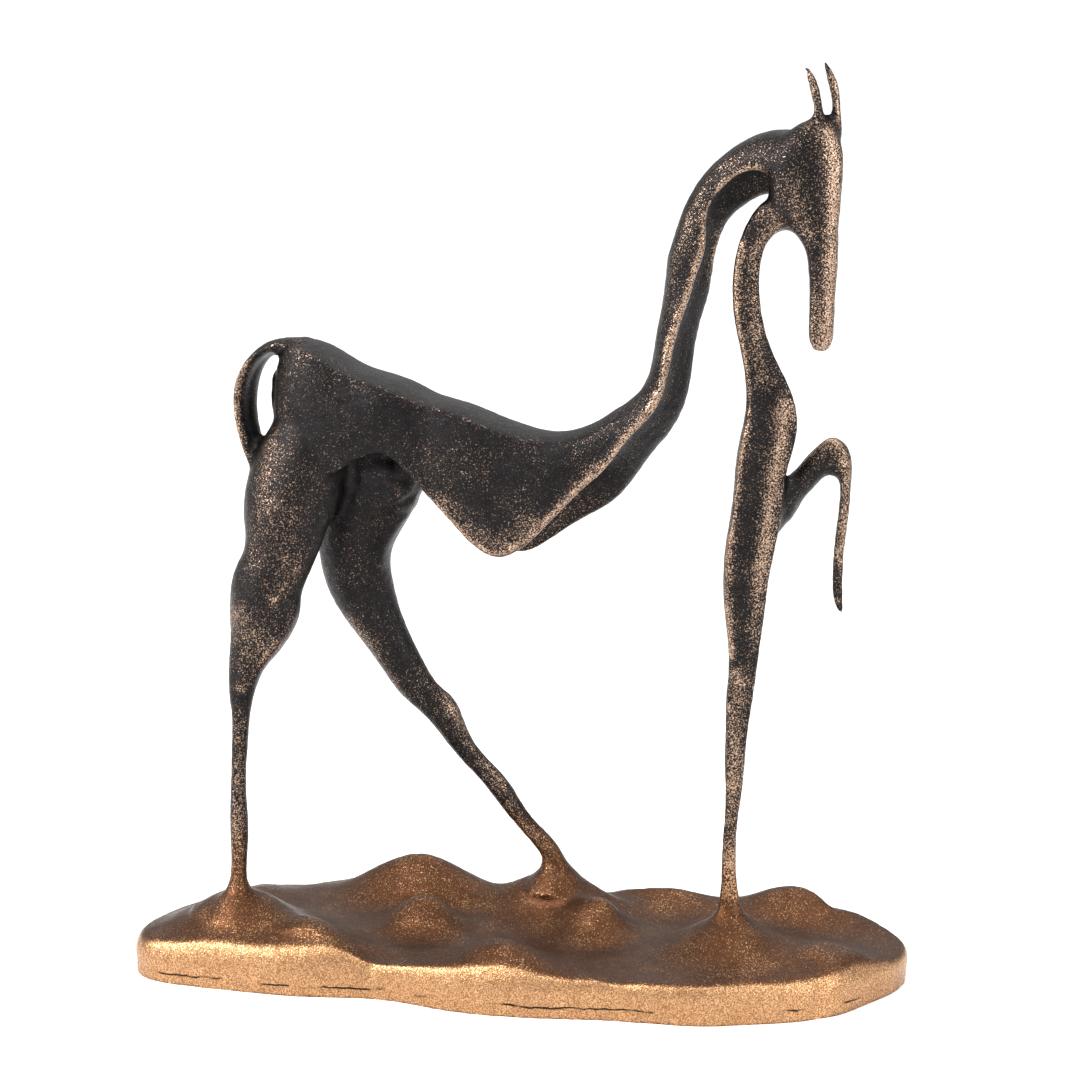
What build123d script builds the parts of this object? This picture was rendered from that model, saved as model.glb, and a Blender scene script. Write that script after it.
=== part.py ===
"""Bronze statuette of a slender, goat-like animal standing on a base of low dunes.

The figure is cast in sections that meet at flat seams with dowels across them. Three feet stand
on flat seats on the dunes, each on a stud with a washer and a nut inside the hollow base. A
bottom plate closes the base, held by countersunk screws, and the statuette rests on it.

Millimetres. +X is the way the animal faces, +Z is up and +Y is its left. The origin is the middle
of the footprint, on the underside of the plate.
"""

import math
import os

from build123d import *

os.makedirs("parts", exist_ok=True)

# Base
plate_thickness = 4.0
base_wall = 4.0
rim_height = 16.0  # height of the dunes' skin where it meets the base's side
# The side of the base: heights, and the share of the footprint's size that it has there
rim_profile = [(4, 1.0), (8, 1.004), (12, 0.996), (15, 0.975), (17.5, 0.935), (19.5, 0.86)]
surface_step = 8.0  # spacing of the grid that the dunes' skin is drawn through

# Fastenings
stud_radius = 1.5
stud_in_foot = 6.0
stud_clearance = 0.2
boss_radius = 6.0
boss_depth = 8.0
boss_skirt = 12.0  # radius to which the ground round a seat flares out
boss_skirt_depth = 7.0
washer_radius = 3.5
washer_thickness = 0.5
nut_across_flats = 5.5
nut_thickness = 2.4
stud_tail = 1.5
screw_radius = 2.0
screw_head_radius = 3.9
screw_length = 12.0
screw_hole_radius = 2.2
screw_boss_radius = 5.0
dowel_radius = 1.0
dowel_half_length = 4.0

# Where the three feet stand: x, y and the height of the seat
right_hind_seat = (-93.5, -28.0, 28.0)
left_hind_seat = (7.0, 18.0, 31.0)
foreleg_seat = (73.5, -5.0, 27.0)
seats = (right_hind_seat, left_hind_seat, foreleg_seat)
seat_radius = 6.3

# The animal's middle plane, and the seams that its castings meet at
middle_y = -5.0
shell_lip = 2.4  # width of the rim round the hollow under the body and neck
right_hip_seam = Plane.XY.offset(148)
left_hip_seam = Plane.XY.offset(140)
neck_seam = Plane(origin=(28, middle_y, 195), z_dir=(0.906, 0.0, 0.423))
head_seam = Plane(origin=(87, middle_y, 280), z_dir=(1, 0, 0))


def export(part, label):
    """Names a finished piece and writes it to its own file."""
    part.label = label
    export_step(part, f"parts/{label}.step")


def largest(part):
    """The biggest solid of a part, without crumbs that a cut may leave."""
    return part.solids().sort_by(SortBy.VOLUME)[-1]


# ---------------------------------------------------------------- base
# The footprint is one closed, lobed curve through these points.
footprint_points = [
    (-129, -32),
    (-121, -44),
    (-104, -47.5),
    (-84, -48),
    (-64, -47.5),
    (-37, -43.5),
    (-18, -47),
    (4, -48.5),
    (30, -45),
    (50, -42.5),
    (70, -41),
    (88, -34.5),
    (103, -27),
    (114, -17),
    (122, -3),
    (129, 15),
    (125.5, 32),
    (110, 43),
    (86, 48),
    (58, 46),
    (34, 44),
    (8, 48),
    (-20, 46),
    (-46, 47),
    (-72, 39),
    (-98, 25),
    (-118, 2),
]

# Each dune: x, y, rise above the rim, length along x, length along y
dunes = [
    (-93, -25, 13, 22, 16),
    (7, 19, 14, 20, 14),
    (73, -6, 11, 20, 17),
    (-44, 24, 14.3, 24, 13),
    (-34, -7, 10.5, 13, 8),
    (26, 2, 9, 11, 8),
    (-63, -36, 6, 14, 11),
    (2, -35, 6, 18, 12),
    (88, 38, 9, 21, 13),
    (108, -3, 3, 13, 14),
    (42, 38, 4.5, 18, 10),
    (-100, 6, 3.5, 18, 14),
    (131, 14, -5, 18, 30),
    (-133, -10, -4, 16, 24),
]
valley = 2.5  # how far the ground between the dunes lies below the rim


def dune_height(x, y):
    """Height of the dunes' skin over a point of the base."""
    height = rim_height - valley
    for centre_x, centre_y, rise, long_x, long_y in dunes:
        reach = ((x - centre_x) / long_x) ** 2 + ((y - centre_y) / long_y) ** 2
        height += (rise + valley) * math.exp(-reach)
    return height


def dune_skin(drop):
    """The dunes as one smooth sheet, lowered by drop and larger than the footprint."""
    rows = []
    for i in range(int(300 / surface_step) + 1):
        x = -150 + i * surface_step
        row = []
        for j in range(int(120 / surface_step) + 1):
            y = -60 + j * surface_step
            row.append((x, y, dune_height(x, y) - drop))
        rows.append(row)
    return Face.make_surface_from_array_of_points(rows)


def footprint_curve(share_x, share_y):
    """The footprint's curve, shrunk to a share of its length and of its width."""
    Spline([(x * share_x, y * share_y) for x, y in footprint_points], periodic=True)


screw_places = [(-108, -18), (-62, 20), (44, -24), (108, 14)]

with BuildPart() as hollow:
    with BuildSketch(Plane.XY.offset(plate_thickness)):
        with BuildLine():
            footprint_curve(0.962, 0.89)
        make_face()
    extrude(amount=50)
    split(bisect_by=dune_skin(base_wall), keep=Keep.BOTTOM)
    for x, y, height in seats:
        with BuildSketch(Plane.XY.offset(height - boss_depth)):
            with Locations((x, y)):
                Circle(boss_radius)
        extrude(amount=50, mode=Mode.SUBTRACT)
    with BuildSketch(Plane.XY.offset(plate_thickness)):
        with Locations(*screw_places):
            Circle(screw_boss_radius)
    extrude(amount=50, mode=Mode.SUBTRACT)

with BuildPart() as base_relief:
    for height, share in rim_profile:
        with BuildSketch(Plane.XY.offset(height)):
            with BuildLine():
                footprint_curve(share, share)
            make_face()
    loft()
    top_height, top_share = rim_profile[-1]
    with BuildSketch(Plane.XY.offset(top_height)):
        with BuildLine():
            footprint_curve(top_share, top_share)
        make_face()
    extrude(amount=20)
    split(bisect_by=dune_skin(0), keep=Keep.BOTTOM)
    for x, y, height in seats:
        with Locations((x, y, height)):
            Cone(boss_skirt, boss_radius, boss_skirt_depth, align=(Align.CENTER, Align.CENTER, Align.MAX))
    add(hollow.part, mode=Mode.SUBTRACT)
    for x, y, height in seats:
        with BuildSketch(Plane.XY.offset(height)):
            with Locations((x, y)):
                Circle(seat_radius)
        extrude(amount=20, mode=Mode.SUBTRACT)
        with BuildSketch(Plane.XY.offset(height - boss_depth)):
            with Locations((x, y)):
                Circle(stud_radius + stud_clearance)
        extrude(amount=boss_depth, mode=Mode.SUBTRACT)
    with BuildSketch(Plane.XY.offset(plate_thickness)):
        with Locations(*screw_places):
            Circle(screw_radius)
    extrude(amount=screw_length - plate_thickness, mode=Mode.SUBTRACT)
export(base_relief.part, "base_relief")

with BuildPart() as base_plate:
    with BuildSketch(Plane.XY):
        with BuildLine():
            footprint_curve(1.0, 1.0)
        make_face()
    extrude(amount=plate_thickness)
    with Locations(*screw_places):
        Cone(
            screw_head_radius,
            screw_hole_radius,
            screw_head_radius - screw_hole_radius,
            align=(Align.CENTER, Align.CENTER, Align.MIN),
            mode=Mode.SUBTRACT,
        )
        Cylinder(
            screw_hole_radius,
            plate_thickness,
            align=(Align.CENTER, Align.CENTER, Align.MIN),
            mode=Mode.SUBTRACT,
        )
export(base_plate.part, "base_plate")

with BuildPart() as base_screws:
    with Locations(*screw_places):
        Cone(
            screw_head_radius - 0.1,
            screw_radius,
            screw_head_radius - screw_radius,
            align=(Align.CENTER, Align.CENTER, Align.MIN),
        )
        Cylinder(
            screw_radius,
            screw_length,
            align=(Align.CENTER, Align.CENTER, Align.MIN),
        )
    with BuildSketch(Plane.XY):
        with Locations(*screw_places):
            Rectangle(2 * screw_head_radius, 1.0)
    extrude(amount=1.0, mode=Mode.SUBTRACT)
export(base_screws.part, "base_screws")

# ---------------------------------------------------------------- figure, the long lofts
def four_sided(corners, across, deep, bulge):
    """A closed outline of four bowed sides through corners given in units of across and deep."""
    points = [Vector(across * u, deep * v) for u, v in corners]
    for i in range(4):
        start = points[i]
        end = points[(i + 1) % 4]
        side = end - start
        outward = Vector(side.Y, -side.X) * bulge
        ThreePointArc(start, (start + end) / 2 + outward, end)


def limb(stations, corners, bulge):
    """A limb is a smooth loft through four-sided sections set square to its line of centres.

    A station is x, y, z, half the width seen from the side, and half the width from the front.
    """
    centres = [Vector(x, y, z) for x, y, z, across, deep in stations]
    with BuildPart() as built:
        for i, (x, y, z, across, deep) in enumerate(stations):
            before = centres[max(i - 1, 0)]
            after = centres[min(i + 1, len(centres) - 1)]
            ahead = after - before
            section = Plane(
                origin=centres[i],
                x_dir=Vector(0, 1, 0).cross(ahead),
                z_dir=ahead,
            )
            with BuildSketch(section):
                with BuildLine():
                    four_sided(corners, across, deep, bulge)
                make_face()
        loft()
    return built.part


# Corners of the sections, counter-clockwise seen from the far end of the limb.
rounded = [(-0.72, -0.72), (0.72, -0.72), (0.72, 0.72), (-0.72, 0.72)]
rear_ridge = [(-0.78, -0.78), (0.96, -0.22), (0.45, 0.86), (-0.98, 0.30)]
thin_blade = [(-0.98, -0.20), (0.10, -0.98), (0.98, 0.20), (-0.10, 0.98)]

# Stations of the shell: the top's x and z, how far down the near and far edges lie, the
# lean of the section from upright in degrees, near edge's y, far edge's y, half of the top's
# width, how far its near shoulder drops, and how deep the hollow between the edges goes.
shell_stations = [
    (-85.0, 206.0, 12, 12, 0, -10, 1, 4.0, 1.5, 1),
    (-80.0, 214.0, 32, 30, 0, -15, 5, 8.5, 2.0, 3),
    (-73.0, 216.4, 40, 38, 0, -18, 8, 11.5, 1.8, 5),
    (-62.0, 211.2, 38, 40, 0, -20, 9, 12.5, 1.5, 9),
    (-50.0, 206.4, 26, 36, 0, -20, 9, 12.5, 1.5, 16),
    (-36.0, 201.7, 25, 31, 0, -18, 8, 12.0, 1.5, 14),
    (-24.0, 198.0, 34, 35, 0, -17, 7, 11.5, 1.5, 20),
    (-14.0, 195.0, 41.5, 42, 0, -17, 7, 11.5, 1.5, 28),
    (-5.0, 192.0, 43.7, 46.6, 0, -16.5, 6.5, 11.0, 1.8, 32),
    (6.0, 189.5, 34.8, 40, 2, -16.5, 6.5, 10.5, 2.2, 22),
    (17.0, 189.7, 21, 30.6, 10, -16.0, 6.0, 10.0, 2.8, 9),
    (28.3, 194.3, 13.4, 23.2, 23, -15.5, 6.0, 9.5, 3.2, 4),
    (37.9, 200.9, 8.7, 16.6, 44, -15.0, 5.5, 9.0, 3.4, 3),
    (44.0, 209.5, 7.7, 13.3, 62, -14.5, 5.5, 8.5, 3.6, 3),
    (46.5, 221.0, 7.3, 11.5, 70, -14.0, 5.5, 8.0, 3.6, 3),
    (48.4, 232.0, 8.5, 12.2, 75, -13.5, 5.0, 8.0, 3.8, 3),
    (49.8, 243.0, 10.6, 13.4, 75, -13.5, 5.0, 8.0, 3.8, 3),
    (51.9, 254.0, 11.9, 13.0, 74, -13.5, 5.0, 8.0, 3.6, 3),
    (56.8, 267.5, 9, 14, 57, -13.5, 4.5, 7.5, 3.0, 4),
    (65.2, 279.0, 8, 16.7, 32, -13.5, 3.5, 7.0, 2.6, 5),
    (75.8, 286.8, 9, 19, 11, -13.5, 2.5, 6.5, 2.4, 5),
    (88.0, 290.0, 13, 21, 0, -14.0, 1.0, 6.0, 2.4, 3),
    (96.5, 288.0, 16, 16, -10, -13.5, -2.0, 4.5, 2.0, 1),
]

with BuildPart() as whole_shell:
    for x, z, near, far, lean, near_y, far_y, half_top, drop, cavity in shell_stations:
        up = Vector(0, 0, 1).rotate(Axis.Y, -lean)
        section = Plane(origin=(x, middle_y, z), x_dir=(0, 1, 0), z_dir=Vector(0, 1, 0).cross(up))
        near_edge = Vector(near_y - middle_y, -near)
        far_edge = Vector(far_y - middle_y, -far)
        near_lip = near_edge + Vector(shell_lip, 0.3 * shell_lip)
        far_lip = far_edge + Vector(-shell_lip, 0.3 * shell_lip)
        near_shoulder = Vector(-half_top, -drop)
        far_shoulder = Vector(half_top, -drop)
        near_middle = (near_shoulder + near_edge) / 2 - Vector(0.06 * near, 0)
        far_middle = (far_shoulder + far_edge) / 2 + Vector(0.06 * far, 0)
        roof = Vector(0, cavity - (near + far) / 2)
        with BuildSketch(section):
            with BuildLine():
                ThreePointArc(far_shoulder, (0, 0), near_shoulder)
                ThreePointArc(near_shoulder, near_middle, near_edge)
                Line(near_edge, near_lip)
                rise = Vector(6, cavity)
                fall = Vector(6, -cavity)
                Spline(near_lip, roof, far_lip, tangents=(rise, fall))
                Line(far_lip, far_edge)
                ThreePointArc(far_edge, far_middle, far_shoulder)
            make_face()
    loft()

right_hind_limb = limb(
    [
        (-93.3, -28, 27.0, 6.0, 5.6),
        (-93.3, -28, 29.5, 4.1, 4.1),
        (-93.1, -28, 34.0, 3.0, 3.1),
        (-92.5, -28, 50.0, 3.3, 2.9),
        (-92.7, -27.5, 65.0, 2.8, 2.7),
        (-92.4, -27, 75.0, 2.7, 2.7),
        (-92.0, -26, 88.0, 3.1, 3.1),
        (-91.5, -24.8, 99.0, 4.3, 4.0),
        (-90.0, -23.5, 108.0, 6.4, 4.8),
        (-87.9, -22.4, 114.0, 9.0, 5.6),
        (-85.9, -21, 120.5, 12.0, 6.8),
        (-84.6, -20, 127.0, 13.3, 7.8),
        (-84.0, -19, 134.0, 13.1, 8.4),
        (-80.7, -17, 144.0, 13.1, 9.3),
        (-79.2, -15, 154.0, 15.2, 10.8),
        (-77.0, -12, 166.0, 17.5, 12.0),
        (-72.8, -9, 180.0, 16.0, 12.0),
        (-70.5, -6, 194.0, 10.5, 10.0),
        (-72.0, -5, 204.0, 6.0, 6.0),
    ],
    rounded,
    0.20,
)
left_hind_limb = limb(
    [
        (7.0, 18, 30.0, 6.0, 5.6),
        (6.6, 18, 32.6, 4.2, 4.2),
        (4.8, 17.8, 37.0, 3.4, 3.5),
        (0.2, 17.5, 42.6, 3.1, 3.3),
        (-6.6, 17, 50.4, 3.1, 3.3),
        (-17.3, 16, 64.2, 3.5, 3.7),
        (-27.8, 15, 77.2, 4.4, 4.3),
        (-38.2, 14, 90.6, 6.1, 4.9),
        (-48.2, 13, 104.4, 7.7, 5.6),
        (-55.4, 12, 117.4, 10.0, 6.4),
        (-60.6, 10, 130.5, 12.7, 7.4),
        (-61.8, 8, 142.4, 14.2, 8.2),
        (-58.4, 6, 155.0, 16.6, 8.5),
        (-52.4, 3, 168.0, 19.4, 8.5),
        (-51.5, 1, 184.0, 16.0, 7.5),
    ],
    rounded,
    0.20,
)
right_fore_limb = limb(
    [
        (73.3, -5, 26.0, 6.3, 5.8),
        (73.3, -5, 28.8, 4.4, 4.4),
        (73.2, -5, 33.5, 3.3, 3.6),
        (72.9, -5, 42.0, 2.5, 3.0),
        (73.1, -5, 55.0, 2.3, 2.7),
        (74.2, -5.5, 70.0, 2.9, 2.9),
        (74.9, -6, 86.0, 3.8, 3.3),
        (76.1, -6.5, 102.0, 4.7, 3.7),
        (77.4, -7, 118.0, 5.5, 4.0),
        (77.6, -7.5, 134.0, 7.3, 4.5),
        (78.8, -8, 151.0, 8.4, 4.8),
        (81.2, -8, 166.0, 8.9, 5.0),
        (82.8, -8, 182.0, 9.0, 5.0),
        (85.6, -8, 196.0, 9.3, 4.8),
        (83.8, -8, 209.0, 7.0, 4.4),
        (80.4, -8.5, 220.0, 4.9, 4.0),
        (77.9, -9, 231.0, 4.4, 3.8),
        (77.2, -9.5, 242.0, 4.4, 3.8),
        (78.9, -10, 253.2, 4.5, 3.8),
        (84.0, -10.5, 261.2, 4.8, 3.8),
        (91.0, -11, 264.0, 4.8, 3.8),
        (98.0, -11, 266.0, 4.4, 3.6),
    ],
    rear_ridge,
    0.12,
)
head_block = limb(
    [
        (102.2, -12.5, 220.5, 1.8, 2.0),
        (102.3, -12.5, 223.0, 3.4, 3.8),
        (102.4, -12.5, 229.0, 3.8, 4.6),
        (102.5, -12.2, 243.0, 4.1, 5.0),
        (101.8, -12.0, 255.0, 5.5, 5.8),
        (99.2, -11.5, 263.0, 9.0, 6.6),
        (97.3, -11.0, 271.0, 10.8, 7.6),
        (97.8, -10.5, 280.0, 10.6, 8.0),
        (99.8, -10.0, 288.0, 8.4, 7.0),
        (102.2, -9.5, 292.0, 4.4, 4.8),
        (102.8, -9.0, 293.6, 2.4, 2.6),
    ],
    rear_ridge,
    0.16,
)


# The raised foreleg by its two edges as seen from the side: the outer edge's x and z, the inner
# edge's x and z, y, and half the thickness. The first two belong to the shoulder, which is cast
# with the standing foreleg, and the second of them is the flat seam between the two.
raised_stations = [
    (85.0, 167.0, 81.2, 149.0, -6.5, 3.2),
    (90.8, 180.0, 90.3, 160.5, -0.2, 4.0),
    (92.0, 180.6, 91.5, 161.8, 0.0, 4.0),
    (95.0, 184.2, 94.5, 168.0, 1.2, 4.0),
    (99.6, 189.2, 98.6, 172.8, 2.2, 3.8),
    (104.4, 191.5, 102.4, 176.4, 2.6, 3.6),
    (108.7, 188.5, 105.2, 176.1, 2.8, 3.3),
    (110.7, 181.2, 106.1, 173.4, 2.9, 2.9),
    (110.3, 173.0, 106.3, 170.0, 3.0, 2.5),
    (109.4, 163.5, 106.0, 163.3, 3.0, 2.2),
    (108.4, 154.5, 105.0, 154.5, 3.0, 2.0),
    (108.2, 147.0, 104.3, 147.0, 3.0, 1.9),
    (108.2, 139.5, 104.3, 139.5, 3.0, 1.7),
    (108.4, 134.5, 105.4, 134.0, 3.0, 1.2),
    (108.5, 131.8, 107.2, 131.6, 3.0, 0.7),
]


def between_edges(stations):
    """A loft through rounded sections, each given by its outer and inner edge."""
    with BuildPart() as built:
        for outer_x, outer_z, inner_x, inner_z, y, deep in stations:
            outer = Vector(outer_x, y, outer_z)
            inner = Vector(inner_x, y, inner_z)
            across = outer - inner
            section = Plane(
                origin=(outer + inner) / 2,
                x_dir=across,
                z_dir=Vector(0, 1, 0).cross(across),
            )
            with BuildSketch(section):
                with BuildLine():
                    four_sided(rounded, across.length / 2, deep, 0.20)
                make_face()
        loft()
    return built.part


shoulder = between_edges(raised_stations[:2])

# The tail is a strap: x, y, z of its middle, its half width and half thickness, and how its
# width direction turns from straight across.
tail_stations = [
    (-74.0, -5.0, 215.4, 7.0, 1.8, 0.0),
    (-80.0, -5.0, 214.8, 7.0, 1.7, 0.05),
    (-86.2, -5.2, 213.2, 7.0, 1.5, 0.12),
    (-91.8, -5.5, 208.0, 7.0, 1.4, 0.20),
    (-94.8, -6.0, 200.8, 7.0, 1.35, 0.26),
    (-95.2, -7.0, 192.5, 6.8, 1.35, 0.26),
    (-93.2, -8.5, 184.0, 6.4, 1.4, 0.26),
    (-90.4, -10.0, 176.0, 5.6, 1.5, 0.22),
    (-86.0, -11.5, 169.0, 4.6, 1.8, 0.15),
]
with BuildPart() as strap:
    for i, (x, y, z, wide, thick, turn) in enumerate(tail_stations):
        before = tail_stations[max(i - 1, 0)]
        after = tail_stations[min(i + 1, len(tail_stations) - 1)]
        ahead = Vector(*after[:3]) - Vector(*before[:3])
        section = Plane(origin=(x, y, z), x_dir=Vector(turn, 1, 0), z_dir=ahead)
        with BuildSketch(section):
            with BuildLine():
                four_sided(thin_blade, wide, thick, 0.16)
            make_face()
    loft()

right_ear_limb = limb(
    [
        (100.6, -11.0, 288.0, 2.6, 2.4),
        (100.5, -11.4, 293.0, 1.9, 2.0),
        (99.6, -11.8, 299.0, 1.5, 1.6),
        (98.6, -12.0, 303.5, 1.7, 1.6),
        (97.0, -12.0, 308.0, 1.3, 1.2),
        (95.8, -12.0, 310.6, 0.7, 0.7),
    ],
    rounded,
    0.20,
)
left_ear_limb = limb(
    [
        (104.0, -7.0, 287.0, 2.4, 2.4),
        (104.6, -6.6, 293.0, 2.0, 2.0),
        (104.6, -6.2, 298.0, 1.5, 1.6),
        (103.8, -6.0, 303.0, 1.7, 1.6),
        (102.0, -6.0, 308.5, 1.3, 1.2),
        (100.4, -6.0, 312.0, 0.6, 0.7),
    ],
    rounded,
    0.20,
)

# ---------------------------------------------------------------- dowels, studs and nuts
# Middle and direction of the dowel across each seam
dowels = [
    ((-79.5, -16.2, 148), (0, 0, 1)),
    ((-60.0, 7.8, 140), (0, 0, 1)),
    ((30.5, middle_y, 188.8), (0.906, 0.0, 0.423)),
    ((87.0, -7.0, 283), (1, 0, 0)),
    ((89.0, -10.8, 262.7), (0.92, -0.07, 0.39)),
]
with BuildPart() as register_dowels:
    for middle, along in dowels:
        with BuildSketch(Plane(origin=middle, z_dir=along)):
            Circle(dowel_radius)
        extrude(amount=dowel_half_length, both=True)
export(register_dowels.part, "register_dowels")

with BuildPart() as foot_studs:
    for x, y, height in seats:
        length = stud_in_foot + boss_depth + washer_thickness + nut_thickness + stud_tail
        with Locations((x, y, height + stud_in_foot)):
            Cylinder(stud_radius, length, align=(Align.CENTER, Align.CENTER, Align.MAX))
export(foot_studs.part, "foot_studs")

with BuildPart() as foot_washers:
    for x, y, height in seats:
        with BuildSketch(Plane.XY.offset(height - boss_depth)):
            with Locations((x, y)):
                Circle(washer_radius)
                Circle(stud_radius + stud_clearance, mode=Mode.SUBTRACT)
        extrude(amount=-washer_thickness)
export(foot_washers.part, "foot_washers")

with BuildPart() as foot_nuts:
    for x, y, height in seats:
        with BuildSketch(Plane.XY.offset(height - boss_depth - washer_thickness)):
            with Locations((x, y)):
                RegularPolygon(nut_across_flats / 2, 6, major_radius=False)
                Circle(stud_radius, mode=Mode.SUBTRACT)
        extrude(amount=-nut_thickness)
export(foot_nuts.part, "foot_nuts")

# ---------------------------------------------------------------- figure, its castings
with BuildPart() as right_hind_leg:
    add(right_hind_limb)
    split(bisect_by=right_hip_seam, keep=Keep.BOTTOM)
    split(bisect_by=Plane.XY.offset(right_hind_seat[2]), keep=Keep.TOP)
    add([register_dowels.part, foot_studs.part], mode=Mode.SUBTRACT)
export(right_hind_leg.part, "right_hind_leg")

with BuildPart() as left_hind_leg:
    add(left_hind_limb)
    split(bisect_by=left_hip_seam, keep=Keep.BOTTOM)
    split(bisect_by=Plane.XY.offset(left_hind_seat[2]), keep=Keep.TOP)
    add([register_dowels.part, foot_studs.part], mode=Mode.SUBTRACT)
export(left_hind_leg.part, "left_hind_leg")

with BuildPart() as right_thigh:
    add(right_hind_limb)
    split(bisect_by=right_hip_seam, keep=Keep.TOP)

with BuildPart() as left_thigh:
    add(left_hind_limb)
    split(bisect_by=left_hip_seam, keep=Keep.TOP)

with BuildPart() as torso_shell:
    add(whole_shell.part)
    split(bisect_by=neck_seam, keep=Keep.BOTTOM)
    add([right_thigh.part, left_thigh.part])
    add(register_dowels.part, mode=Mode.SUBTRACT)
export(torso_shell.part, "torso_shell")

with BuildPart() as neck_shell:
    add(whole_shell.part)
    split(bisect_by=neck_seam, keep=Keep.TOP)
    split(bisect_by=head_seam, keep=Keep.BOTTOM)
    add(head_block, mode=Mode.SUBTRACT)
    add(register_dowels.part, mode=Mode.SUBTRACT)
export(neck_shell.part, "neck_shell")

with BuildPart() as head:
    add(whole_shell.part)
    split(bisect_by=head_seam, keep=Keep.TOP)
    add(head_block)
    add(register_dowels.part, mode=Mode.SUBTRACT)
export(head.part, "head")

with BuildPart() as right_foreleg:
    add(right_fore_limb)
    split(bisect_by=Plane.XY.offset(foreleg_seat[2]), keep=Keep.TOP)
    add([head.part, neck_shell.part], mode=Mode.SUBTRACT)
    add(largest(right_foreleg.part), mode=Mode.REPLACE)
    add(shoulder)
    add([register_dowels.part, foot_studs.part], mode=Mode.SUBTRACT)
export(right_foreleg.part, "right_foreleg")

with BuildPart() as left_foreleg:
    add(between_edges(raised_stations[1:]))
export(left_foreleg.part, "left_foreleg")

with BuildPart() as tail:
    add(strap.part)
    add([torso_shell.part, right_hind_leg.part], mode=Mode.SUBTRACT)
    add(largest(tail.part), mode=Mode.REPLACE)
export(tail.part, "tail")

with BuildPart() as right_ear:
    add(right_ear_limb)
    add(head.part, mode=Mode.SUBTRACT)
    add(largest(right_ear.part), mode=Mode.REPLACE)
export(right_ear.part, "right_ear")

with BuildPart() as left_ear:
    add(left_ear_limb)
    add([head.part, right_ear.part], mode=Mode.SUBTRACT)
    add(largest(left_ear.part), mode=Mode.REPLACE)
export(left_ear.part, "left_ear")
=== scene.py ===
# %% [markdown]
# # A patinated bronze statuette
# The CAD frame gives each casting its place and size. Here the castings get the skin of a real
# lost-wax bronze: filleted joins, rolled rims, a grainy surface and a patina that is rubbed
# through on the ridges. Each visible piece stands for the CAD casting of the same name.

import math

import bmesh
import bpy
import numpy as np
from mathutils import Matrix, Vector, noise
from mathutils.bvhtree import BVHTree


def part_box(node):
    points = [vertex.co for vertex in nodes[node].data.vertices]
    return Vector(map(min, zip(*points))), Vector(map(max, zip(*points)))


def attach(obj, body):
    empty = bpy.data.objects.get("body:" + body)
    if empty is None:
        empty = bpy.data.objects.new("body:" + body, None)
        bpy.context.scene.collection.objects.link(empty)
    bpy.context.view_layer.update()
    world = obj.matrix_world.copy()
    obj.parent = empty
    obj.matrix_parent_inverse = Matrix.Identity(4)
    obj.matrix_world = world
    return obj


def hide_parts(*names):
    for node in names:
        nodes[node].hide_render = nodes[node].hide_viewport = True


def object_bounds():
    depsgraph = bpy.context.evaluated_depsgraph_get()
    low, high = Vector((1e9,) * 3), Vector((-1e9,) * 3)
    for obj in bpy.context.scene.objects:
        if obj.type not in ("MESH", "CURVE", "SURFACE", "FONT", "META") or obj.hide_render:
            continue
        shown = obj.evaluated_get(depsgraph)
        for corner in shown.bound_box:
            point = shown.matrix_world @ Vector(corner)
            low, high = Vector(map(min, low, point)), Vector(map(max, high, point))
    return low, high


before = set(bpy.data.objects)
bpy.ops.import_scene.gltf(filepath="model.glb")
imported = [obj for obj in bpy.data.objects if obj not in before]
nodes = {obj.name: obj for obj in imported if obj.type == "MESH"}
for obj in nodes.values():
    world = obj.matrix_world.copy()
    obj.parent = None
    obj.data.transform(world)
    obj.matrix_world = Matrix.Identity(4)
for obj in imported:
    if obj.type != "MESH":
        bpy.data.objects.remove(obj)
cad_low, cad_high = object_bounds()
MM = 0.001
MIDDLE_Y = -5  # the animal's middle plane, in millimetres
VOXEL = 0.85  # edge of the melted skin's mesh, in millimetres
FILLET = 1.3  # radius of the fillets where castings meet
GROUND_MARGIN = 0.5  # whatever lies this near the table is laid flat on it
BOX_MARGIN = 0.02  # how far the skin stays inside the CAD box
FIGURE = [
    "torso_shell",
    "neck_shell",
    "head",
    "right_ear",
    "left_ear",
    "right_foreleg",
    "left_foreleg",
    "right_hind_leg",
    "left_hind_leg",
    "tail",
]
BASE = ["base_relief", "base_plate"]
print("CAD box in mm", [round(v / MM, 1) for v in (*cad_low, *cad_high)])

# %% [markdown]
# ## Sculpting tools
# Wax is worked by adding and taking away along lines. A stroke does that to a mesh: it pushes
# the skin out, or in, near a line of points. Grain is a small, seeded noise along the normals.
# The points are millimetres in the frame, so a stroke can be read against the CAD.


# %% Tools that work on a whole skin
def coordinates(mesh):
    """The vertices of a mesh as an array, in millimetres."""
    flat = np.empty(len(mesh.vertices) * 3)
    mesh.vertices.foreach_get("co", flat)
    return flat.reshape(-1, 3) / MM


def normals(mesh):
    """The vertex normals of a mesh as an array."""
    flat = np.empty(len(mesh.vertices) * 3)
    mesh.vertex_normals.foreach_get("vector", flat)
    return flat.reshape(-1, 3)


def put_back(mesh, points):
    """Writes an array of millimetres back as the mesh's vertices."""
    mesh.vertices.foreach_set("co", (points * MM).ravel())
    mesh.update()


def merged_copy(name, node_names):
    """A new object holding copies of several CAD castings."""
    built = bmesh.new()
    for node_name in node_names:
        built.from_mesh(nodes[node_name].data)
    bmesh.ops.remove_doubles(built, verts=built.verts, dist=0.01 * MM)
    mesh = bpy.data.meshes.new(name)
    built.to_mesh(mesh)
    built.free()
    obj = bpy.data.objects.new(name, mesh)
    bpy.context.scene.collection.objects.link(obj)
    return obj


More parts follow.
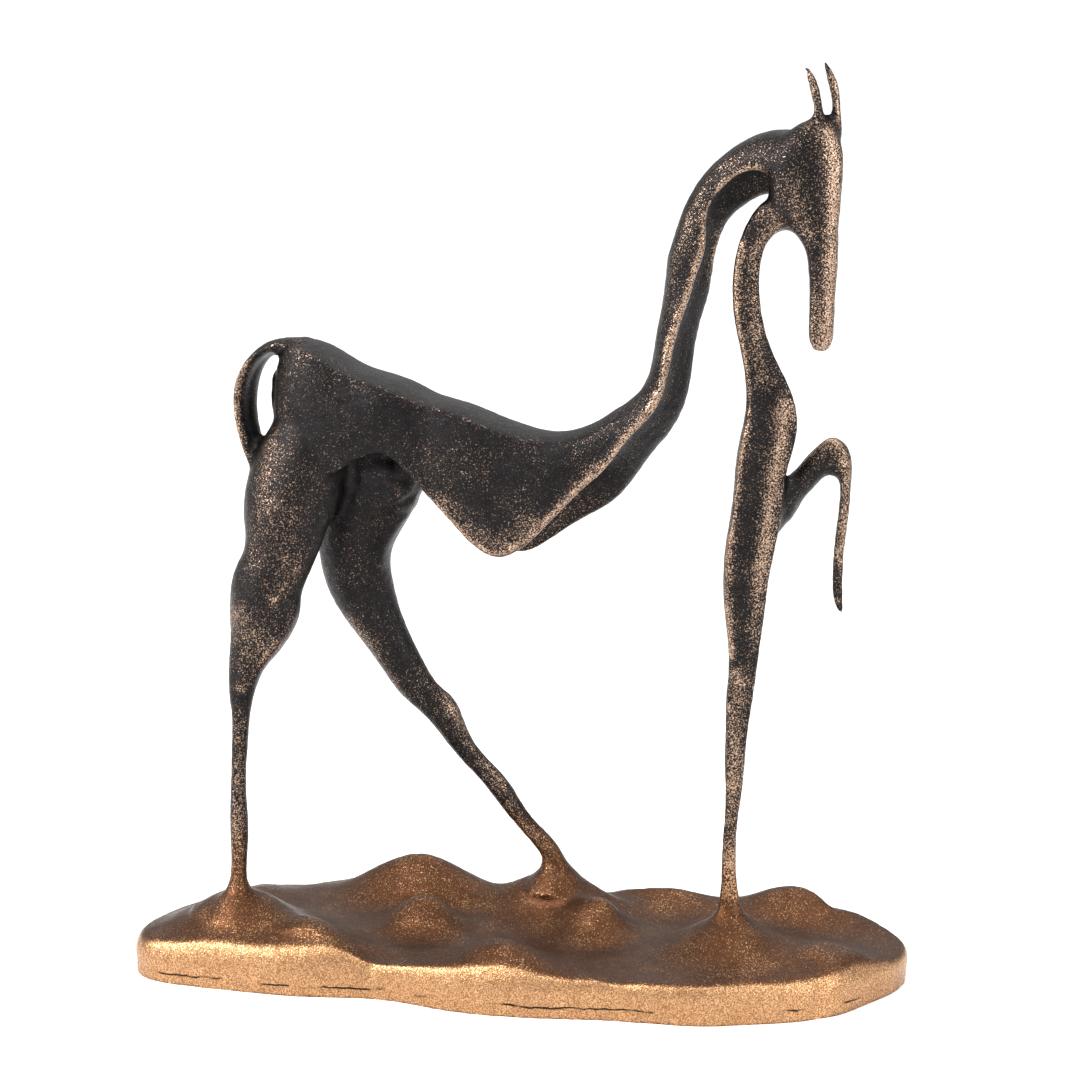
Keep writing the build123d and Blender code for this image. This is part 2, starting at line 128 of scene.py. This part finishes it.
def bake_modifiers(obj):
    """Replaces an object's mesh by what its modifiers make of it."""
    graph = bpy.context.evaluated_depsgraph_get()
    baked = bpy.data.meshes.new_from_object(obj.evaluated_get(graph))
    obj.modifiers.clear()
    obj.data = baked
    return obj


def remesh(obj, voxel):
    """Melts the parts of an object into one even skin."""
    modifier = obj.modifiers.new("melt", "REMESH")
    modifier.mode = "VOXEL"
    modifier.voxel_size = voxel * MM
    modifier.use_smooth_shade = True
    return bake_modifiers(obj)


def relax(obj, rounds):
    """Smooths a skin a little, as wax smooths when it is warmed."""
    modifier = obj.modifiers.new("relax", "SMOOTH")
    modifier.factor = 0.5
    modifier.iterations = rounds
    return bake_modifiers(obj)


def swell(obj, amount):
    """Moves the whole skin outward along its normals, or inward if amount is negative."""
    put_back(obj.data, coordinates(obj.data) + amount * normals(obj.data))
    return obj


def fillet_joins(obj, voxel, radius):
    """Fills the sharp inside corners where castings meet, and leaves ridges alone."""
    remesh(obj, voxel)
    swell(obj, radius)
    remesh(obj, voxel)
    relax(obj, 2)
    swell(obj, -radius)
    relax(obj, 2)
    return obj


def distance_to_line(points, line):
    """How far each point is from a line of straight pieces."""
    nearest = np.full(len(points), 1e9)
    for start, end in zip(line[:-1], line[1:]):
        start = np.array(start, float)
        along = np.array(end, float) - start
        share = np.clip((points - start) @ along / (along @ along), 0, 1)
        gap = np.linalg.norm(points - start - share[:, None] * along, axis=1)
        nearest = np.minimum(nearest, gap)
    return nearest


def stroke(obj, line, radius, height):
    """Adds wax along a line, or takes it away if height is negative."""
    points = coordinates(obj.data)
    reach = np.exp(-((distance_to_line(points, line) / radius) ** 2))
    put_back(obj.data, points + (height * reach)[:, None] * normals(obj.data))


def noise_at(points, scale, seed):
    """Smooth noise from -1 to 1 at each point, for features of about that many millimetres."""
    shift = Vector((seed * 7.3, seed * 3.1, seed * 5.7))
    return np.array([noise.noise(Vector(p) / scale + shift) for p in points])


def roughen(obj, scale, height, seed, centre=None, radius=1.0):
    """Cast grain over the whole skin, or only round a centre."""
    points = coordinates(obj.data)
    amount = height * noise_at(points, scale, seed)
    if centre is not None:
        gap = np.linalg.norm(points - np.array(centre, float), axis=1)
        amount = amount * np.exp(-((gap / radius) ** 2))
    put_back(obj.data, points + amount[:, None] * normals(obj.data))


def neighbour_mean(values, ends, counts):
    """The mean of each vertex's neighbours."""
    total = np.zeros_like(values)
    np.add.at(total, ends[:, 0], values[ends[:, 1]])
    np.add.at(total, ends[:, 1], values[ends[:, 0]])
    return total / counts


def store(obj, name, values):
    """Keeps one value for each vertex on the mesh, for the materials to read."""
    layer = obj.data.attributes.new(name, "FLOAT", "POINT")
    layer.data.foreach_set("value", values)
    print(name, "from", round(values.min(), 2), "to", round(values.max(), 2))


def edges_of(mesh):
    """The two ends of every edge, and how many edges meet at each vertex."""
    flat = np.empty(len(mesh.edges) * 2, int)
    mesh.edges.foreach_get("vertices", flat)
    counts = np.maximum(np.bincount(flat, minlength=len(mesh.vertices)), 1)
    return flat.reshape(-1, 2), counts[:, None]


def soften(obj, weight, rounds):
    """Smooths the skin where the weight is 1, and leaves it alone where it is 0."""
    points = coordinates(obj.data)
    ends, counts = edges_of(obj.data)
    share = (0.7 * weight)[:, None]
    for _ in range(rounds):
        points = points + share * (neighbour_mean(points, ends, counts) - points)
    put_back(obj.data, points)


def pride(obj, rounds, scale):
    """How proud each spot stands of its surroundings: 0 hollow, 0.5 flat, 1 ridge."""
    mesh = obj.data
    points = coordinates(mesh)
    ends, counts = edges_of(mesh)
    smooth = points
    for _ in range(rounds):
        smooth = neighbour_mean(smooth, ends, counts)
    proud = np.einsum("ij,ij->i", points - smooth, normals(mesh))
    return np.clip(0.5 + proud / scale, 0, 1)


def nearness(points, line, radius):
    """1 on a line or a spot, falling softly to 0 some radii away."""
    if len(line) == 1:
        gap = np.linalg.norm(points - np.array(line[0], float), axis=1)
    else:
        gap = distance_to_line(points, line)
    return np.exp(-((gap / radius) ** 2))


def other_side(line):
    """The same line on the other side of the animal's middle plane."""
    return [(x, 2 * MIDDLE_Y - y, z) for x, y, z in line]


# %% [markdown]
# ## The skin
# The castings of a bronze are welded and chased until no seam shows, so figure and base are
# melted into one skin, and only afterwards parted along the seams. The strokes are the lines
# that the eye follows: the rolled rim under the body and up the neck, and the ridges of the legs.

# %% Melt the castings together
bronze = merged_copy("bronze skin", FIGURE + BASE)
fillet_joins(bronze, VOXEL, FILLET)
print("the skin has", len(bronze.data.vertices), "vertices")

# %% Rims, ridges and hollows of the wax
rim = [
    (-50, -20, 181),
    (-36, -18, 177),
    (-24, -17, 164),
    (-14, -17, 153.5),
    (-5, -16.5, 148.5),
    (6, -16.5, 155),
    (20, -16, 169.5),
    (33, -15.5, 182),
    (44, -15, 195),
    (51, -14.5, 206),
    (53, -14, 219),
    (56, -13.5, 230),
    (60, -13.5, 240),
    (63.5, -13.5, 251),
    (65, -13.5, 262),
    (70, -13.5, 272),
    (78, -13.5, 278),
    (88, -14, 277),
]
foreleg_ridge = [
    (73.5, -11, 118),
    (72.2, -11.5, 134),
    (72.6, -12, 151),
    (74.5, -12, 166),
    (76, -12, 182),
    (78.6, -12, 196),
    (78.5, -12, 209),
    (76.4, -12, 220),
    (74.4, -12, 231),
    (73.8, -12.5, 242),
    (76, -13, 253),
]
hock_fold = [(-64, -23, 150), (-70, -25, 134), (-74, -26, 121), (-83, -27, 111), (-90, -28, 101)]
heel_line = [(-95, -21, 142), (-97, -23, 126), (-95.5, -25, 110), (-95, -27, 96)]
stroke(bronze, rim, 2.4, 0.8)
stroke(bronze, other_side(rim[2:]), 2.4, 0.6)
stroke(bronze, [(85, -14, 266), (86, -15, 286)], 6.0, 2.6)
stroke(bronze, [(88, 2, 268), (90, 0, 286)], 6.0, 1.6)
stroke(bronze, foreleg_ridge, 2.0, 0.5)
stroke(bronze, hock_fold, 3.0, 0.9)
stroke(bronze, heel_line, 2.5, 0.5)
for strand in (
    [(-38, -10, 178), (-52, -16, 166), (-68, -24, 146), (-78, -29, 132)],
    [(-36, -4, 172), (-46, -8, 160), (-56, -14, 146)],
    [(-34, 0, 164), (-44, 0, 150), (-50, 2, 138)],
):
    stroke(bronze, strand, 2.2, 1.1)

# %% Soft joins at the feet, behind the head and round the shoulder of the base
feet = [(-93.5, -28, 27), (6, 18, 29), (73.5, -5, 26)]
shoulder_height, shoulder_depth = 14, 4
points = coordinates(bronze.data)
soft = 0.9 * np.exp(-(((points[:, 2] - shoulder_height) / shoulder_depth) ** 2))
for foot in feet:
    soft = np.maximum(soft, nearness(points, [foot], 9.0))
soften(bronze, soft, 24)
points = coordinates(bronze.data)
nape = np.maximum(
    nearness(points, [(86, -15, 264), (88, -15, 286)], 8.0),
    nearness(points, [(88, 4, 264), (90, 2, 286)], 8.0),
)
soften(bronze, nape, 40)

# %% Grain of the cast skin
roughen(bronze, 16, 0.35, 1)
roughen(bronze, 2.4, 0.12, 2)
roughen(bronze, 4, 1.5, 3, (-46, -2, 171), 13)
roughen(bronze, 3, 0.8, 4, (-60, -18, 154), 9)

# %% Hollows in the side of the base
for line, radius, height in [
    ([(-45, -50, 3), (-43, -46, 10), (-40, -36, 17)], 5, -1.2),
    ([(40, -48, 3), (41, -44, 10), (43, -34, 16)], 5, -1.0),
    ([(109, -26, 3), (108, -22, 10), (104, -14, 15)], 4, -1.2),
    ([(-90, 38, 3), (-88, 32, 12)], 5, -1.0),
    ([(20, 47, 3), (20, 42, 12)], 6, -1.0),
]:
    stroke(bronze, line, radius, height)
relax(bronze, 1)

# %% Keep the skin inside the CAD box, with its underside flat on the table
points = coordinates(bronze.data)
lowest = np.array(cad_low) / MM + BOX_MARGIN
highest = np.array(cad_high) / MM - BOX_MARGIN
points = np.clip(points, lowest, highest)
points[:, 2] = np.where(points[:, 2] < GROUND_MARGIN, 0.0, points[:, 2])
put_back(bronze.data, points)

# %% Where the patina is rubbed through, and where a sheen of the lights is painted in as bare metal
# Each place: a line of points, its radius, and how much of the dark skin is gone there. Most places are
# wear on rims and ridges; the broad patches on the thigh and on the front of the head are partly
# painted sheen, laid where those faces turn to the lights.
rubbed_and_sheen_places = [
    (rim[2:], 2.4, 0.75),
    ([(-22, -17, 163), (-5, -17, 150), (10, -17, 159)], 6.0, 0.60),
    ([(-84, -16, 206), (-87, -20, 190), (-84, -24, 172)], 7.0, 0.45),
    # The thigh patch: painted sheen where the thigh faces the lights, over a few real scratches.
    ([(-84, -27, 168), (-78, -28, 146)], 14.0, 0.30),
    ([(-92, -26, 124), (-84, -28, 116), (-78, -28, 112)], 8.0, 0.55),
    ([(-92, -31, 92), (-93, -31, 34)], 4.0, 0.35),
    ([(-96, -24, 140), (-97, -26, 110)], 4.0, 0.35),
    ([(82, -12, 118), (84, -12, 150), (89, -12, 182), (91, -12, 202)], 3.4, 0.85),
    ([(76, -10, 112), (75, -9, 80), (74, -8, 36)], 4.0, 0.55),
    (foreleg_ridge, 2.6, 0.50),
    ([(82, -12, 210), (80, -12, 232), (80, -13, 250), (88, -14, 262)], 3.4, 0.55),
    ([(42, -15, 205), (49, -14, 230), (52, -14, 250), (62, -14, 268)], 6.0, 0.35),
    ([(64, -14, 277), (80, -14, 284), (92, -14, 284)], 5.0, 0.30),
    # The head patches: mostly a painted highlight on the front of the head, which faces the right-hand
    # light.
    ([(106, -15, 290), (107, -15, 262), (105, -14, 226)], 5.0, 0.95),
    ([(102, -15, 238), (102, -14, 222)], 5.0, 0.60),
    ([(94, -18, 276), (98, -18, 256)], 5.0, 0.45),
    ([(100, -13, 294), (96, -12, 310)], 2.5, 0.45),
    ([(105, -8, 292), (104, -7, 308)], 2.5, 0.80),
    ([(-38, 6, 150), (-42, 8, 125), (-32, 11, 95), (-12, 14, 60)], 3.2, 0.50),
    ([(-64, 4, 118), (-44, 8, 86), (-20, 12, 58), (2, 15, 36)], 3.8, 0.60),
    ([(92, 0, 180), (104, 0, 190), (110, 1, 180), (108, 1, 150)], 3.5, 0.55),
    ([(-94, -12, 208), (-97, -13, 190), (-92, -15, 172)], 3.0, 0.65),
]
rubbed_and_sheen = np.zeros(len(points))
for line, radius, share in rubbed_and_sheen_places:
    for side in (line, other_side(line)):
        rubbed_and_sheen = np.maximum(rubbed_and_sheen, share * nearness(points, side, radius))

# %% What the materials read from the skin
# The hollow under the hips is never rubbed. The wall is the side of the base, where the gold is.
cavity = nearness(points, [(-50, -16, 178), (-46, -2, 171), (-40, 4, 166)], 12.0)
store(bronze, "rubbed_and_sheen", rubbed_and_sheen * (1 - cavity))
upright = 1 - np.abs(normals(bronze.data)[:, 2])
low_down = np.clip((23 - points[:, 2]) / 6, 0, 1)
wall = (np.clip((upright - 0.15) / 0.5, 0, 1) * low_down)[:, None]
ends, counts = edges_of(bronze.data)
for _ in range(12):
    wall = neighbour_mean(wall, ends, counts)
store(bronze, "wall", wall[:, 0])
store(bronze, "wear", pride(bronze, 10, 1.1) * (1 - 0.8 * cavity))

# %% [markdown]
# ## Parting the skin
# Each face goes to the casting that it lies nearest to. Every piece is then closed where it was
# parted, so that it is a solid skin of its own, as the castings are before they are joined.


# %% Part the skin along the castings' seams
def owner_of_each_face(skin, node_names):
    """For each face of the skin, which casting it lies nearest to."""
    reach = Vector((5 * MM, 5 * MM, 5 * MM))
    trees = []
    for node_name in node_names:
        cast = bmesh.new()
        cast.from_mesh(nodes[node_name].data)
        low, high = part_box(node_name)
        trees.append((BVHTree.FromBMesh(cast), Vector(low) - reach, Vector(high) + reach))
        cast.free()
    owners = []
    for face in skin.data.polygons:
        best, least = 0, 1.0
        for i, (tree, low, high) in enumerate(trees):
            x, y, z = face.center
            if low.x < x < high.x and low.y < y < high.y and low.z < z < high.z:
                gap = tree.find_nearest(face.center)[3]
                if gap < least:
                    best, least = i, gap
        owners.append(best)
    return owners


def cut_out(skin, owners, owner, name):
    """The part of a skin that belongs to one casting, closed where it was parted."""
    built = bmesh.new()
    built.from_mesh(skin.data)
    built.faces.ensure_lookup_table()
    others = [face for face in built.faces if owners[face.index] != owner]
    bmesh.ops.delete(built, geom=others, context="FACES")
    loops = [edge for edge in built.edges if edge.is_boundary]
    bmesh.ops.holes_fill(built, edges=loops, sides=0)
    for edge in loops:
        edge.smooth = False
    bmesh.ops.recalc_face_normals(built, faces=built.faces)
    for face in built.faces:
        face.smooth = True
    mesh = bpy.data.meshes.new(name)
    built.to_mesh(mesh)
    built.free()
    return mesh


def part_skin(skin, node_names):
    """Splits a skin into one closed piece for each CAD casting."""
    owners = owner_of_each_face(skin, node_names)
    made = []
    for i, node_name in enumerate(node_names):
        mesh = cut_out(skin, owners, i, node_name + "_bronze")
        piece = bpy.data.objects.new(node_name + "_bronze", mesh)
        bpy.context.scene.collection.objects.link(piece)
        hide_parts(node_name)
        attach(piece, "root")
        print(piece.name, len(mesh.polygons), "faces")
        made.append(piece)
    bpy.data.objects.remove(skin)
    return made


pieces = part_skin(bronze, FIGURE + BASE)

# %% [markdown]
# ## Patina
# Bronze is darkened with liver of sulphur, then rubbed back and waxed. Rubbing reaches the ridges
# and the tops of the cast grain, never the hollows. So the colour follows the stored wear and a painted
# sheen on faces turned to the lights, broken up by fine grain, and the worn metal is also smoother than
# the dark skin.


# %% Building blocks for the materials
class Maker:
    """Adds shader nodes to one material."""

    def __init__(self, name):
        self.material = bpy.data.materials.new(name)
        self.material.use_nodes = True
        self.tree = self.material.node_tree
        self.shader = self.tree.nodes["Principled BSDF"]
        self.place = self.tree.nodes.new("ShaderNodeTexCoord").outputs["Object"]

    def link(self, source, target):
        """Joins an output, or a plain value, to an input."""
        if isinstance(source, (int, float)):
            target.default_value = source
        elif isinstance(source, tuple):
            target.default_value = (*source, 1.0)
        else:
            self.tree.links.new(source, target)

    def noise(self, size, detail=3.0, rough=0.6):
        """Noise whose features are about size millimetres."""
        node = self.tree.nodes.new("ShaderNodeTexNoise")
        node.inputs["Scale"].default_value = 1.0 / (size * MM)
        node.inputs["Detail"].default_value = detail
        node.inputs["Roughness"].default_value = rough
        self.tree.links.new(self.place, node.inputs["Vector"])
        return node.outputs["Fac"]

    def math(self, kind, a, b=0.0, clamp=False):
        """One sum."""
        node = self.tree.nodes.new("ShaderNodeMath")
        node.operation = kind
        node.use_clamp = clamp
        self.link(a, node.inputs[0])
        self.link(b, node.inputs[1])
        return node.outputs[0]

    def span(self, value, low, high, to_low=0.0, to_high=1.0):
        """Maps a value from one range to another, smoothly at both ends."""
        node = self.tree.nodes.new("ShaderNodeMapRange")
        node.interpolation_type = "SMOOTHSTEP"
        self.link(value, node.inputs["Value"])
        node.inputs["From Min"].default_value = low
        node.inputs["From Max"].default_value = high
        node.inputs["To Min"].default_value = to_low
        node.inputs["To Max"].default_value = to_high
        return node.outputs["Result"]

    def mix(self, share, a, b):
        """A colour between a and b."""
        node = self.tree.nodes.new("ShaderNodeMix")
        node.data_type = "RGBA"
        self.link(share, node.inputs["Factor"])
        self.link(a, node.inputs[6])
        self.link(b, node.inputs[7])
        return node.outputs[2]

    def attribute(self, name):
        """A value stored on the mesh."""
        node = self.tree.nodes.new("ShaderNodeAttribute")
        node.attribute_name = name
        return node.outputs["Fac"]

    def height(self):
        """Height above the table in millimetres."""
        node = self.tree.nodes.new("ShaderNodeSeparateXYZ")
        self.tree.links.new(self.place, node.inputs[0])
        return self.math("MULTIPLY", node.outputs["Z"], 1000.0)

    def bump(self, value, strength, depth):
        """A bump from a height value, depth in millimetres."""
        node = self.tree.nodes.new("ShaderNodeBump")
        node.inputs["Strength"].default_value = strength
        node.inputs["Distance"].default_value = depth * MM
        self.tree.links.new(value, node.inputs["Height"])
        self.tree.links.new(node.outputs["Normal"], self.shader.inputs["Normal"])


# %% Patina of the figure and of the base
# Both castings share one recipe. It turns from near black to warm brown towards the ground, and
# to brushed gold on the side of the base, so that the feet run into the dunes without a step.
def patina(name):
    """A dark skin over copper: how much copper shows follows the wear and the painted sheen, broken up
    by the grain.
    """
    made = Maker(name)
    grain = made.noise(0.5, 3.0, 0.65)
    cloud = made.noise(13.0, 4.0, 0.6)
    patches = made.noise(4.0, 3.0, 0.6)
    wear = made.attribute("wear")
    high = made.height()
    earth = made.span(high, 60.0, 29.0)
    side = made.span(made.attribute("wall"), 0.1, 0.75)

    # How much copper shows: on edges, where hands rub, as painted sheen on faces turned to the lights,
    # in clouds, and towards the ground
    edge = made.math("MULTIPLY", made.span(wear, 0.55, 1.0), made.span(patches, 0.3, 0.6, 0.35, 0.75))
    worn_and_sheen = made.math("ADD", edge, made.math("MULTIPLY", made.attribute("rubbed_and_sheen"), 0.95))
    worn_and_sheen = made.math("ADD", worn_and_sheen, made.span(cloud, 0.40, 0.68, 0.06, 0.32))
    worn_and_sheen = made.math("ADD", worn_and_sheen, made.math("MULTIPLY", earth, 0.20))
    worn_and_sheen = made.math("ADD", worn_and_sheen, made.math("MULTIPLY", side, made.span(patches, 0.3, 0.6, 0.55, 1.0)))
    worn_and_sheen = made.math("MULTIPLY", worn_and_sheen, made.span(wear, 0.10, 0.46, 0.1, 1.0), clamp=True)
    reach = made.math("ADD", grain, made.math("MULTIPLY", worn_and_sheen, 0.22))
    shown = made.span(reach, 0.62, 0.82)

    # Dark skin and bare metal, each turning warmer towards the ground
    dark = made.mix(made.noise(3.0), (0.007, 0.007, 0.008), (0.022, 0.020, 0.020))
    brown = made.mix(made.noise(6.0), (0.038, 0.016, 0.008), (0.105, 0.045, 0.022))
    brown = made.mix(side, brown, (0.240, 0.120, 0.055))
    dark = made.mix(earth, dark, brown)
    copper = made.mix(made.noise(5.0), (0.32, 0.20, 0.135), (0.60, 0.42, 0.30))
    gold = made.mix(made.noise(7.0), (0.42, 0.22, 0.105), (0.68, 0.405, 0.21))
    colour = made.mix(shown, dark, made.mix(earth, copper, gold))

    # The seam between dunes and plate, a dark line that wanders and stays shut in places
    level = made.span(made.noise(12.0), 0.3, 0.7, 3.4, 4.6)
    seam = made.math("ABSOLUTE", made.math("SUBTRACT", high, level))
    open_here = made.span(made.noise(18.0), 0.46, 0.56)
    crack = made.math("MULTIPLY", made.span(seam, 0.50, 0.12), open_here)
    colour = made.mix(crack, colour, (0.02, 0.012, 0.008))

    # Finish: the worn metal is smoother than the skin
    made.link(colour, made.shader.inputs["Base Color"])
    made.shader.inputs["Metallic"].default_value = 1.0
    made.link(made.span(shown, 0.0, 1.0, 0.37, 0.27), made.shader.inputs["Roughness"])
    skin_grain = made.math("ADD", made.noise(0.9, 4.0, 0.7), made.noise(0.4, 2.0, 0.5))
    made.bump(skin_grain, 0.5, 0.35)
    return made.material


figure_patina = patina("figure patina")
base_patina = patina("base patina")

# %% Steel of the fixings
steel = Maker("turned steel")
turned = steel.noise(0.5, 3.0, 0.6)
steel.link(steel.mix(turned, (0.42, 0.42, 0.43), (0.62, 0.62, 0.63)), steel.shader.inputs["Base Color"])
steel.shader.inputs["Metallic"].default_value = 1.0
steel.link(steel.span(turned, 0.3, 0.7, 0.25, 0.45), steel.shader.inputs["Roughness"])
steel.bump(turned, 0.3, 0.05)

# %% Give every piece its finish
for piece in pieces:
    piece.data.materials.clear()
    piece.data.materials.append(base_patina if piece.name.startswith("base") else figure_patina)
for node_name in ("base_screws", "foot_studs", "foot_washers", "foot_nuts", "register_dowels"):
    nodes[node_name].data.materials.clear()
    nodes[node_name].data.materials.append(steel.material)

# %% [markdown]
# ## Stage, lights and camera
# A seamless pale floor and large, soft lights: dark metal shows its form only by what it
# reflects, so the lights are big and stand on both sides of the camera.

# %% Floor
floor_mesh = bpy.data.meshes.new("floor")
sweep = bmesh.new()
bmesh.ops.create_grid(sweep, x_segments=1, y_segments=1, size=40.0)
sweep.to_mesh(floor_mesh)
sweep.free()
floor = bpy.data.objects.new("floor", floor_mesh)
bpy.context.scene.collection.objects.link(floor)
paper = bpy.data.materials.new("white paper")
paper.use_nodes = True
paper.node_tree.nodes["Principled BSDF"].inputs["Base Color"].default_value = (0.9, 0.9, 0.9, 1)
paper.node_tree.nodes["Principled BSDF"].inputs["Roughness"].default_value = 0.9
floor_mesh.materials.append(paper)


# %% Lights
def soft_light(name, place, target, size, power):
    """A square soft box that looks at a point."""
    light = bpy.data.lights.new(name, "AREA")
    light.size = size
    light.energy = power
    obj = bpy.data.objects.new(name, light)
    obj.location = place
    obj.rotation_euler = (Vector(target) - Vector(place)).to_track_quat("-Z", "Y").to_euler()
    bpy.context.scene.collection.objects.link(obj)
    return obj


middle = (0.0, 0.0, 0.15)
soft_light("left box", (-0.9, -0.8, 0.8), middle, 0.5, 24)
soft_light("right box", (1.2, -0.6, 0.6), middle, 0.6, 11)
soft_light("top box", (0.1, 0.1, 1.5), middle, 0.9, 8)

# %% Surroundings that are bright overhead and darker towards the horizon
world = bpy.data.worlds.new("studio")
world.use_nodes = True
world_nodes = world.node_tree.nodes
links = world.node_tree.links
direction = world_nodes.new("ShaderNodeTexCoord").outputs["Generated"]
axes = world_nodes.new("ShaderNodeSeparateXYZ")
links.new(direction, axes.inputs[0])
overhead = world_nodes.new("ShaderNodeMapRange")
links.new(axes.outputs["Z"], overhead.inputs["Value"])
overhead.inputs["To Min"].default_value = 0.25
overhead.inputs["To Max"].default_value = 1.75
links.new(overhead.outputs["Result"], world_nodes["Background"].inputs["Strength"])
world_nodes["Background"].inputs["Color"].default_value = (1, 1, 1, 1)
bpy.context.scene.world = world
bpy.context.scene.view_settings.view_transform = "Standard"

# %% Camera
camera_data = bpy.data.cameras.new("camera")
camera_data.lens = 110
camera = bpy.data.objects.new("camera", camera_data)
bpy.context.scene.collection.objects.link(camera)
target = Vector((0.007, -0.004, 0.152))
distance = 1.1
azimuth, elevation = math.radians(15), math.radians(12)
back = Vector(
    (
        math.sin(azimuth) * math.cos(elevation),
        -math.cos(azimuth) * math.cos(elevation),
        math.sin(elevation),
    )
)
camera.location = target + distance * back
camera.rotation_euler = (-back).to_track_quat("-Z", "Y").to_euler()
bpy.context.scene.camera = camera
